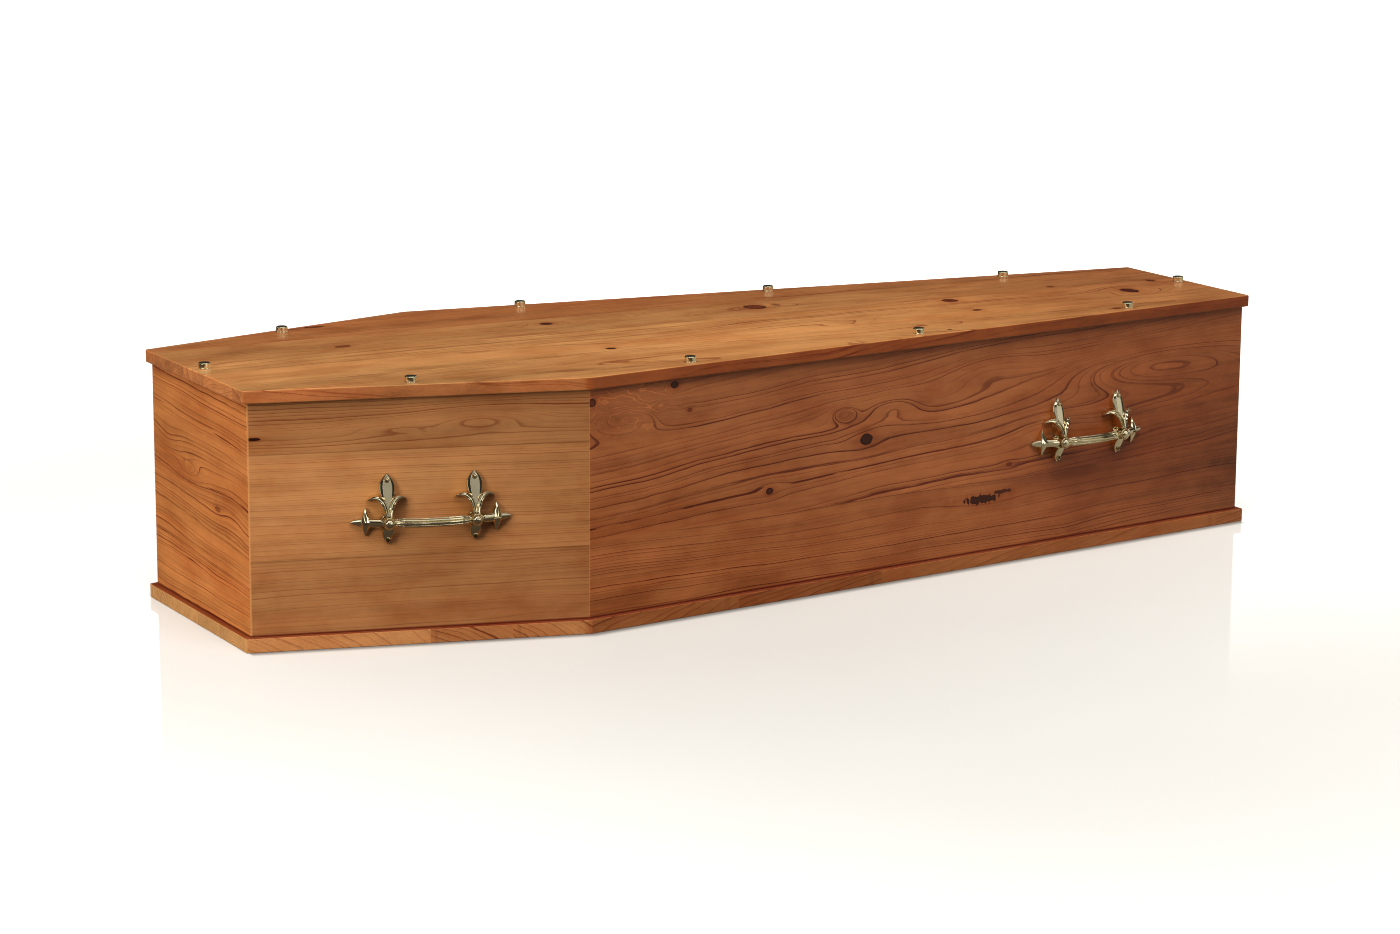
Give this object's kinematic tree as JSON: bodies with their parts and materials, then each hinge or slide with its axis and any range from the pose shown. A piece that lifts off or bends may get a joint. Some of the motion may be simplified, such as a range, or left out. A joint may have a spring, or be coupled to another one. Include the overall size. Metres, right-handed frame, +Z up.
{
  "type": "coffin",
  "caption": "Six-sided tapered wooden coffin with a flat lift-off lid, a projecting base board, round screw caps along the lid and cast bar handles on fleur-shaped plates.",
  "frame": {"origin": "on the floor under the middle of the base board", "axes": "+X from the head end to the foot end, +Y across the width, +Z up"},
  "size_m": [1.9, 0.6844, 0.414],
  "materials": {
    "base_pine": "varnished",
    "side_pine": "varnished",
    "lid_pine": "varnished",
    "cap_brass": "polished",
    "handle_brass": "polished",
    "screw_brass": "aged"
  },
  "bodies": {
    "root": {"base_board": "base_pine", "head_panel": "side_pine", "foot_panel": "side_pine", "side_front_short": "side_pine", "side_front_long": "side_pine", "side_back_short": "side_pine", "side_back_long": "side_pine", "lid": "lid_pine", "lid_screw_front_1": "cap_brass", "lid_screw_front_2": "cap_brass", "lid_screw_front_3": "cap_brass", "lid_screw_front_4": "cap_brass", "lid_screw_back_1": "cap_brass", "lid_screw_back_2": "cap_brass", "lid_screw_back_3": "cap_brass", "lid_screw_back_4": "cap_brass", "lid_screw_head": "cap_brass", "lid_screw_foot": "cap_brass", "handle_front_head_plate_head": "handle_brass", "handle_front_head_plate_foot": "handle_brass", "handle_front_head_bar": "handle_brass", "handle_front_head_boss_head": "handle_brass", "handle_front_head_boss_foot": "handle_brass", "handle_front_head_screw_1": "screw_brass", "handle_front_head_screw_2": "screw_brass", "handle_front_head_screw_3": "screw_brass", "handle_front_head_screw_4": "screw_brass", "handle_front_foot_plate_head": "handle_brass", "handle_front_foot_plate_foot": "handle_brass", "handle_front_foot_bar": "handle_brass", "handle_front_foot_boss_head": "handle_brass", "handle_front_foot_boss_foot": "handle_brass", "handle_front_foot_screw_1": "screw_brass", "handle_front_foot_screw_2": "screw_brass", "handle_front_foot_screw_3": "screw_brass", "handle_front_foot_screw_4": "screw_brass", "handle_back_head_plate_head": "handle_brass", "handle_back_head_plate_foot": "handle_brass", "handle_back_head_bar": "handle_brass", "handle_back_head_boss_head": "handle_brass", "handle_back_head_boss_foot": "handle_brass", "handle_back_head_screw_1": "screw_brass", "handle_back_head_screw_2": "screw_brass", "handle_back_head_screw_3": "screw_brass", "handle_back_head_screw_4": "screw_brass", "handle_back_foot_plate_head": "handle_brass", "handle_back_foot_plate_foot": "handle_brass", "handle_back_foot_bar": "handle_brass", "handle_back_foot_boss_head": "handle_brass", "handle_back_foot_boss_foot": "handle_brass", "handle_back_foot_screw_1": "screw_brass", "handle_back_foot_screw_2": "screw_brass", "handle_back_foot_screw_3": "screw_brass", "handle_back_foot_screw_4": "screw_brass"}
  },
  "joints": []
}
